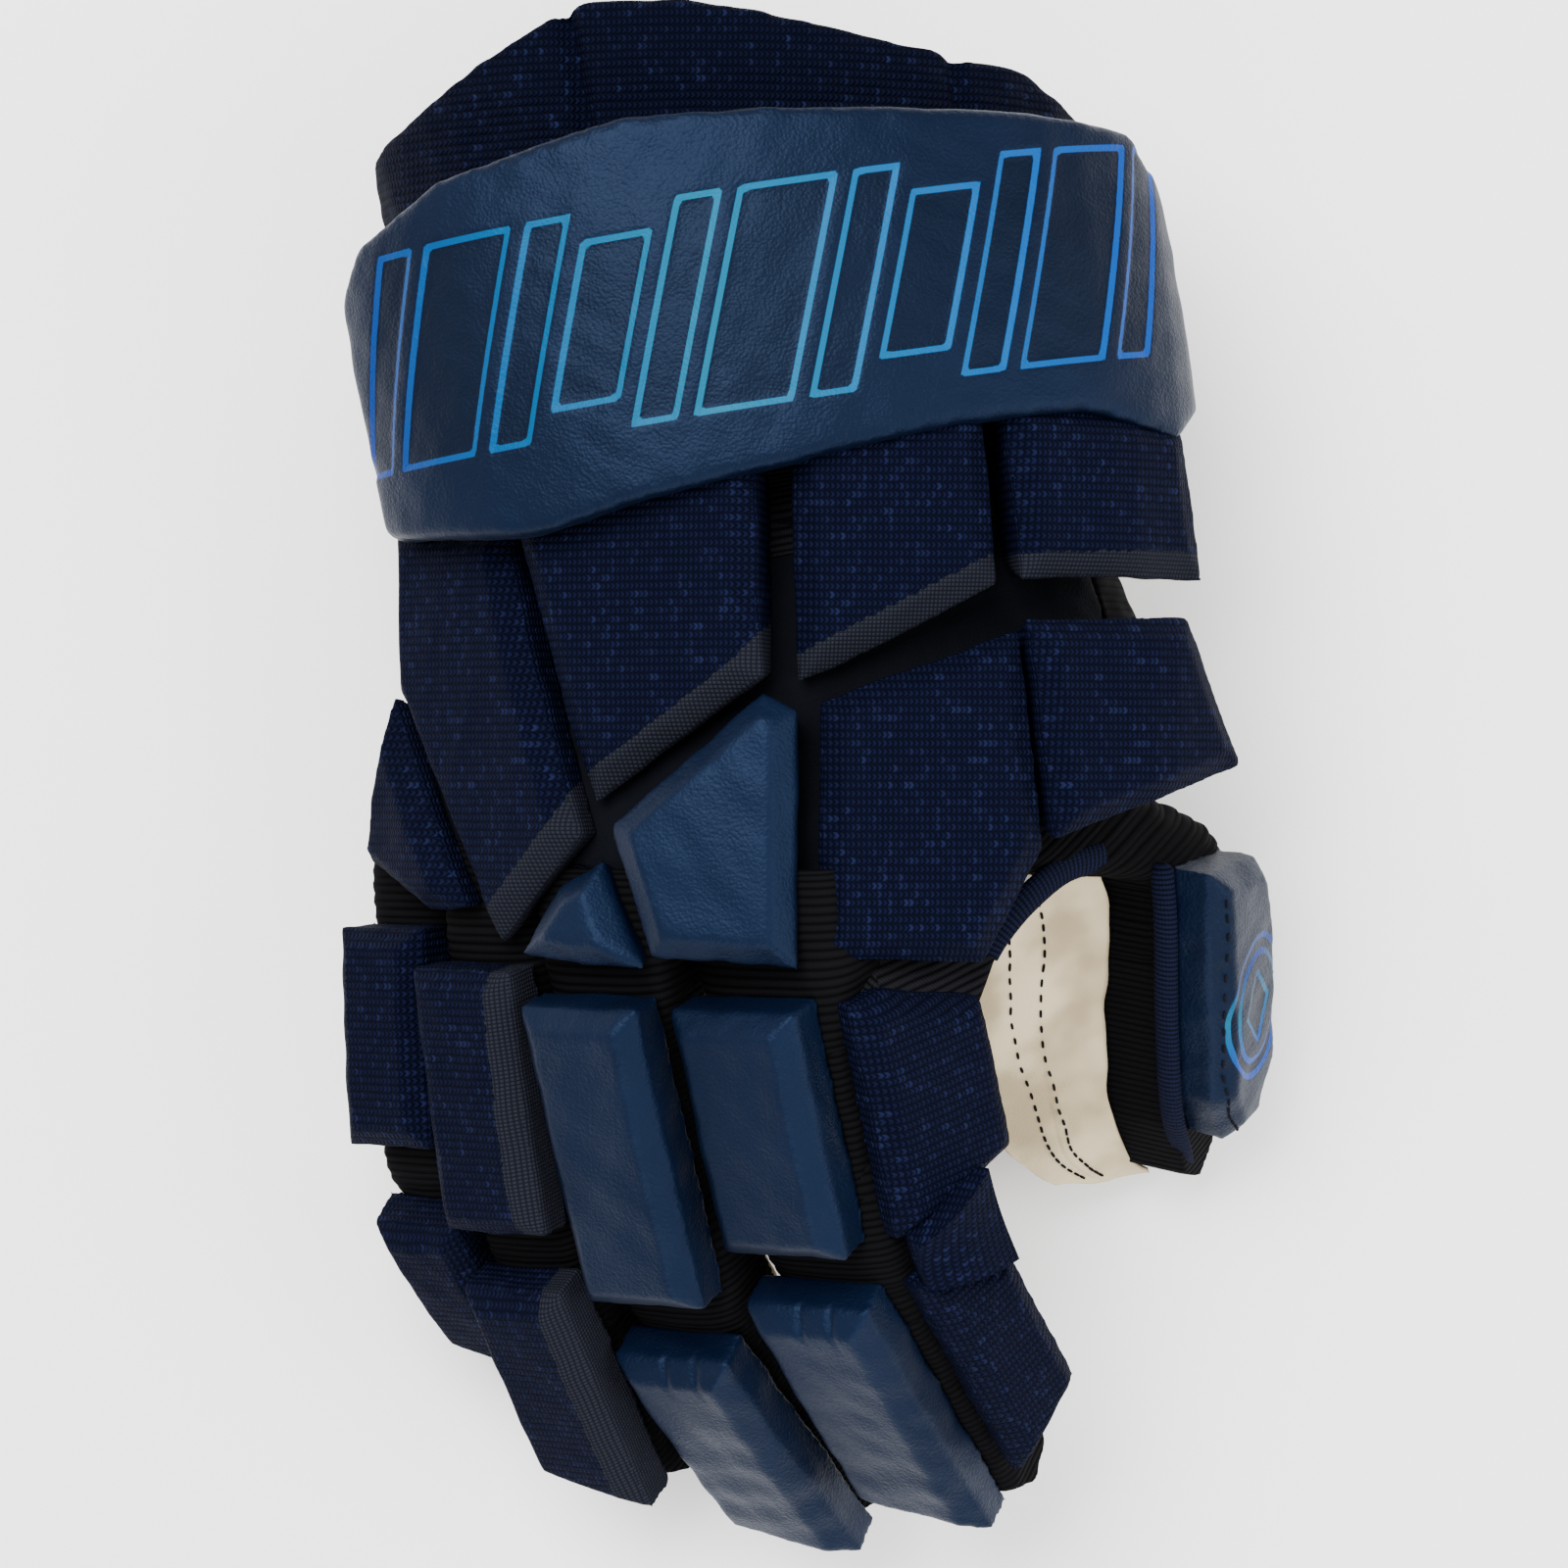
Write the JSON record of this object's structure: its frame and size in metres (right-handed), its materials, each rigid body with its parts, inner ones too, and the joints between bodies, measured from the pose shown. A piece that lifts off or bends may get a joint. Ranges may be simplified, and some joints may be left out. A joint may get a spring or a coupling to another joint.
{
  "type": "ice hockey glove",
  "caption": "Right-hand ice hockey glove with padded backhand rolls, split finger pads, a padded thumb, a suede palm and a wide arched cuff band.",
  "frame": {"origin": "centre of the bounding box at its lowest level, on the surface the glove lies on", "axes": "+Y from the fingertips to the cuff, +X across the hand to the thumb side, +Z out of the back of the hand"},
  "size_m": [0.2164, 0.35, 0.1252],
  "materials": {
    "knit": "coarse flecked knit",
    "navy_leather": "fine pebbled grain, satin",
    "suede": "brushed suede",
    "stretch_cloth": "ribbed stretch cloth",
    "binding": "woven tape",
    "lining": "brushed lining",
    "backing": "plain woven backing",
    "foam": "closed-cell foam",
    "stiff_sheet": "smooth sheet"
  },
  "bodies": {
    "hand": {"backhand_foam_cores": "foam", "backhand_sheets": "stiff_sheet", "backhand_shell": "backing", "hand_liner": "lining", "index_roll_lower": "knit", "index_roll_upper": "knit", "knuckle_binding": "binding", "middle_knuckle_pad": "navy_leather", "middle_roll": "knit", "palm_panel": "suede", "pinky_edge_roll": "knit", "ring_knuckle_pad": "navy_leather", "ring_roll": "knit", "thumb_roll_lower": "knit", "thumb_roll_upper": "knit", "web_binding": "binding"},
    "cuff": {"cuff_band": "navy_leather", "cuff_band_foam": "foam", "cuff_binding": "binding", "cuff_board": "stiff_sheet", "cuff_extension": "knit", "cuff_extension_foam": "foam", "cuff_liner": "lining"},
    "thumb": {"thumb_foam": "foam", "thumb_pad": "navy_leather", "thumb_palm": "suede", "thumb_sheet": "stiff_sheet", "thumb_sleeve": "stretch_cloth"},
    "index_distal": {"index_distal_foam": "foam", "index_distal_pad": "navy_leather", "index_distal_sleeve": "stretch_cloth", "index_side_distal_foam": "foam", "index_side_distal_pad": "knit"},
    "index_proximal": {"index_proximal_foam": "foam", "index_proximal_pad": "navy_leather", "index_proximal_sheet": "stiff_sheet", "index_proximal_sleeve": "stretch_cloth", "index_side_proximal_foam": "foam", "index_side_proximal_pad": "knit"},
    "middle_distal": {"middle_distal_foam": "foam", "middle_distal_pad": "navy_leather", "middle_distal_sleeve": "stretch_cloth"},
    "middle_proximal": {"middle_proximal_foam": "foam", "middle_proximal_pad": "navy_leather", "middle_proximal_sheet": "stiff_sheet", "middle_proximal_sleeve": "stretch_cloth"},
    "pinky_distal": {"pinky_distal_foam": "foam", "pinky_distal_pad": "knit", "pinky_distal_sleeve": "stretch_cloth"},
    "pinky_proximal": {"pinky_proximal_foam": "foam", "pinky_proximal_pad": "knit", "pinky_proximal_sheet": "stiff_sheet", "pinky_proximal_sleeve": "stretch_cloth"},
    "ring_distal": {"ring_distal_foam": "foam", "ring_distal_pad": "knit", "ring_distal_sleeve": "stretch_cloth"},
    "ring_proximal": {"ring_proximal_foam": "foam", "ring_proximal_pad": "knit", "ring_proximal_sheet": "stiff_sheet", "ring_proximal_sleeve": "stretch_cloth"}
  },
  "joints": [
    {"name": "index_knuckle", "type": "hinge", "parent": "hand", "child": "index_proximal", "pos_m": [-0.00802, -0.03323, 0.10101], "axis": [0.829, 0, 0.5592], "range_deg": [-15, 12]},
    {"name": "index_middle_joint", "type": "hinge", "parent": "index_proximal", "child": "index_distal", "pos_m": [0.00509, -0.09493, 0.08158], "axis": [0.829, 0, 0.5592], "range_deg": [-20, 25]},
    {"name": "middle_knuckle", "type": "hinge", "parent": "hand", "child": "middle_proximal", "pos_m": [-0.04201, -0.03323, 0.08773], "axis": [0.829, 0, 0.5592], "range_deg": [-15, 40]},
    {"name": "middle_middle_joint", "type": "hinge", "parent": "middle_proximal", "child": "middle_distal", "pos_m": [-0.02612, -0.10801, 0.06418], "axis": [0.829, 0, 0.5592], "range_deg": [-24, 44]},
    {"name": "ring_knuckle", "type": "hinge", "parent": "hand", "child": "ring_proximal", "pos_m": [-0.068, -0.02823, 0.06779], "axis": [0.829, 0, 0.5592], "range_deg": [-10, 40]},
    {"name": "ring_middle_joint", "type": "hinge", "parent": "ring_proximal", "child": "ring_distal", "pos_m": [-0.05998, -0.09572, 0.05589], "axis": [0.829, 0, 0.5592], "range_deg": [-20, 45]},
    {"name": "pinky_knuckle", "type": "hinge", "parent": "hand", "child": "pinky_proximal", "pos_m": [-0.08702, -0.02223, 0.04591], "axis": [0.829, 0, 0.5592], "range_deg": [-4, 40]},
    {"name": "pinky_middle_joint", "type": "hinge", "parent": "pinky_proximal", "child": "pinky_distal", "pos_m": [-0.08475, -0.08009, 0.04256], "axis": [0.829, 0, 0.5592], "range_deg": [-38, 40]},
    {"name": "thumb_joint", "type": "hinge", "parent": "hand", "child": "thumb", "pos_m": [0.07662, -0.00923, 0.05287], "axis": [0.4629, 0.4419, -0.7684], "range_deg": [-8, 18]},
    {"name": "wrist", "type": "hinge", "parent": "hand", "child": "cuff", "pos_m": [-0.00638, 0.07877, 0.07217], "axis": [-0.9848, -0.1736, 0], "range_deg": [0, 15]}
  ]
}
